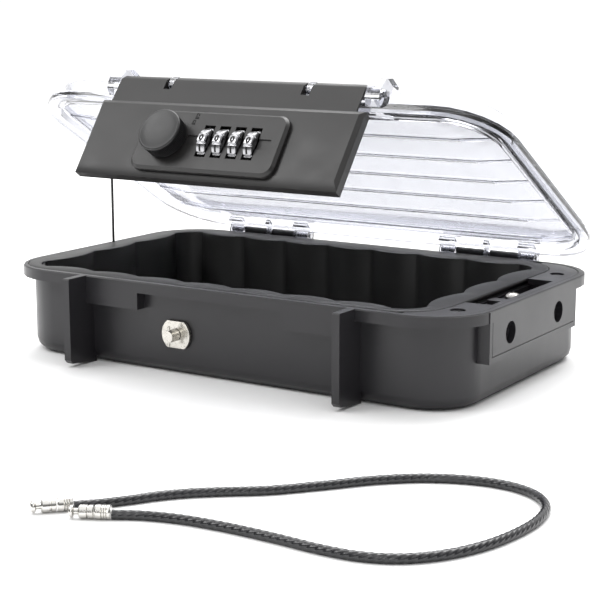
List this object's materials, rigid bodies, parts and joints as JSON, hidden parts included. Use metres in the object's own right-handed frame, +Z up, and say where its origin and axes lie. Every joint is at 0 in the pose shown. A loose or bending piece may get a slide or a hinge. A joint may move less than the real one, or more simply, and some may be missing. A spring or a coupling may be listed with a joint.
{
  "type": "portable lock box",
  "caption": "Low moulded lock box with a rubber liner, a clear hinged lid on a stay cord, a front latch with a combination lock and a loose security cable.",
  "frame": {"origin": "centre of the tray's rim outline, on the plane the tray stands on", "axes": "+X to the right along the front, +Y from the latch to the hinge, +Z up"},
  "size_m": [0.3141, 0.3197, 0.1302],
  "materials": {
    "tray_plastic": "charcoal, fine moulded texture",
    "latch_plastic": "charcoal, satin",
    "liner_rubber": "black, soft matte",
    "clear_plastic": "clear, polished",
    "steel": "stainless, fine turned",
    "pin_steel": "blackened",
    "black_screw": "black oxide",
    "wheel_chrome": "bright plated, dark digits",
    "nickel": "nickel plated",
    "stay_plastic": "black",
    "cable_jacket": "black jacket over twisted strands"
  },
  "bodies": {
    "tray": {"base_tray": "tray_plastic", "liner": "liner_rubber", "end_cover": "tray_plastic", "end_cover_screw_1": "black_screw", "end_cover_screw_2": "black_screw", "slide_screw": "steel", "stud_plate": "steel", "lock_stud": "steel", "stud_cross_pin": "steel", "hinge_pin_left": "pin_steel", "hinge_pin_right": "pin_steel", "stay_foot": "stay_plastic", "stay_cord": "stay_plastic", "security_cable": "cable_jacket", "cable_ferrule_a": "nickel", "cable_pin_a": "nickel", "cable_ferrule_b": "nickel", "cable_pin_b": "nickel"},
    "slide": {"release_slide": "tray_plastic"},
    "lid": {"lid_shell": "clear_plastic", "stay_button": "stay_plastic", "latch_pin": "pin_steel"},
    "latch": {"latch_plate": "latch_plastic", "lock_housing": "latch_plastic", "lock_back_cover": "latch_plastic", "back_cover_screw_1": "steel", "back_cover_screw_2": "steel", "wheel_spindle": "pin_steel", "detent_leaf": "steel"},
    "knob": {"lock_knob": "latch_plastic", "knob_cup": "steel"},
    "wheel_1": {"digit_wheel_1": "wheel_chrome"},
    "wheel_2": {"digit_wheel_2": "wheel_chrome"},
    "wheel_3": {"digit_wheel_3": "wheel_chrome"},
    "wheel_4": {"digit_wheel_4": "wheel_chrome"}
  },
  "joints": [
    {"name": "lid_hinge", "type": "hinge", "parent": "tray", "child": "lid", "pos_m": [0, 0.075, 0.041], "axis": [-1, 0, 0], "range_deg": [-31, 0], "deforming": ["stay_cord"]},
    {"name": "latch_hinge", "type": "hinge", "parent": "lid", "child": "latch", "pos_m": [0, -0.04525, 0.12434], "axis": [-1, 0, 0], "range_deg": [-5, 60]},
    {"name": "knob_turn", "type": "hinge", "parent": "latch", "child": "knob", "pos_m": [-0.0206, -0.07179, 0.10381], "axis": [0, -0.809, 0.5878], "range_deg": [0, 90]},
    {"name": "slide_release", "type": "slide", "parent": "tray", "child": "slide", "axis": [0, 1, 0], "range_m": [0, 0.004]},
    {"name": "wheel_spin_1", "type": "hinge", "parent": "latch", "child": "wheel_1", "pos_m": [0, -0.06855, 0.10146], "axis": [-1, 0, 0], "continuous": true},
    {"name": "wheel_spin_2", "type": "hinge", "parent": "latch", "child": "wheel_2", "pos_m": [0, -0.06855, 0.10146], "axis": [-1, 0, 0], "continuous": true},
    {"name": "wheel_spin_3", "type": "hinge", "parent": "latch", "child": "wheel_3", "pos_m": [0, -0.06855, 0.10146], "axis": [-1, 0, 0], "continuous": true},
    {"name": "wheel_spin_4", "type": "hinge", "parent": "latch", "child": "wheel_4", "pos_m": [0, -0.06855, 0.10146], "axis": [-1, 0, 0], "continuous": true}
  ]
}
